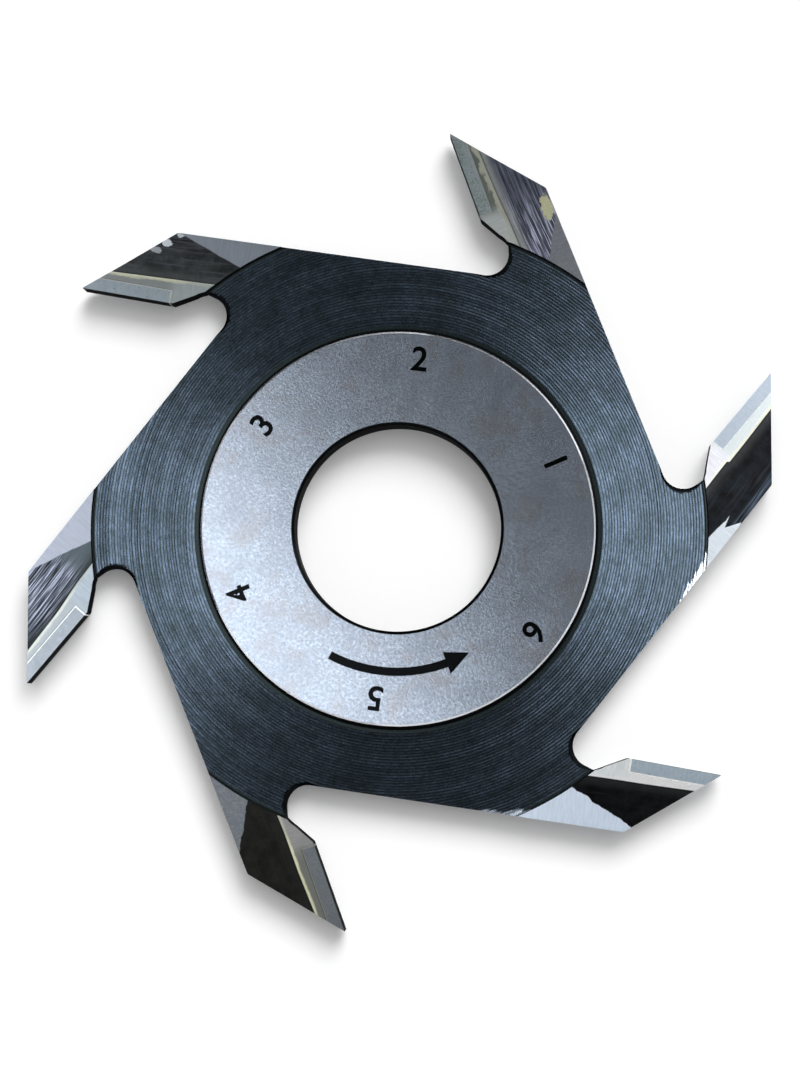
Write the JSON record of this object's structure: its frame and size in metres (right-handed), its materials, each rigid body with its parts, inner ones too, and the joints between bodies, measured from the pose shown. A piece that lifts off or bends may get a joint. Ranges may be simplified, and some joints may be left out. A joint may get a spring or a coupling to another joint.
{
  "type": "slotting cutter",
  "caption": "Disc slotting cutter for a spindle: a flat steel body with a thicker bored hub and hooked teeth, each tipped with a brazed hard-metal plate.",
  "frame": {"origin": "on the bore's axis, in the plane of the lower hub face, on which the cutter rests", "axes": "+Z along the bore. Seen from +Z the teeth cut counter-clockwise, and the first tooth's tip corner lies 22.5 degrees from +X towards +Y"},
  "size_m": [0.1154, 0.124, 0.0064],
  "materials": {
    "body_steel": "turned grooves on a dark blued web, ground silver hub faces, ground strips and black flats on the teeth",
    "carbide": "fine-ground satin hard metal, blue-grey",
    "braze": "bright ground brazing brass with an uneven edge"
  },
  "bodies": {
    "root": {"cutter_body": "body_steel", "carbide_tip_1": "carbide", "carbide_tip_2": "carbide", "carbide_tip_3": "carbide", "carbide_tip_4": "carbide", "carbide_tip_5": "carbide", "carbide_tip_6": "carbide", "braze_seam_1": "braze", "braze_seam_2": "braze", "braze_seam_3": "braze", "braze_seam_4": "braze", "braze_seam_5": "braze", "braze_seam_6": "braze"}
  },
  "joints": []
}
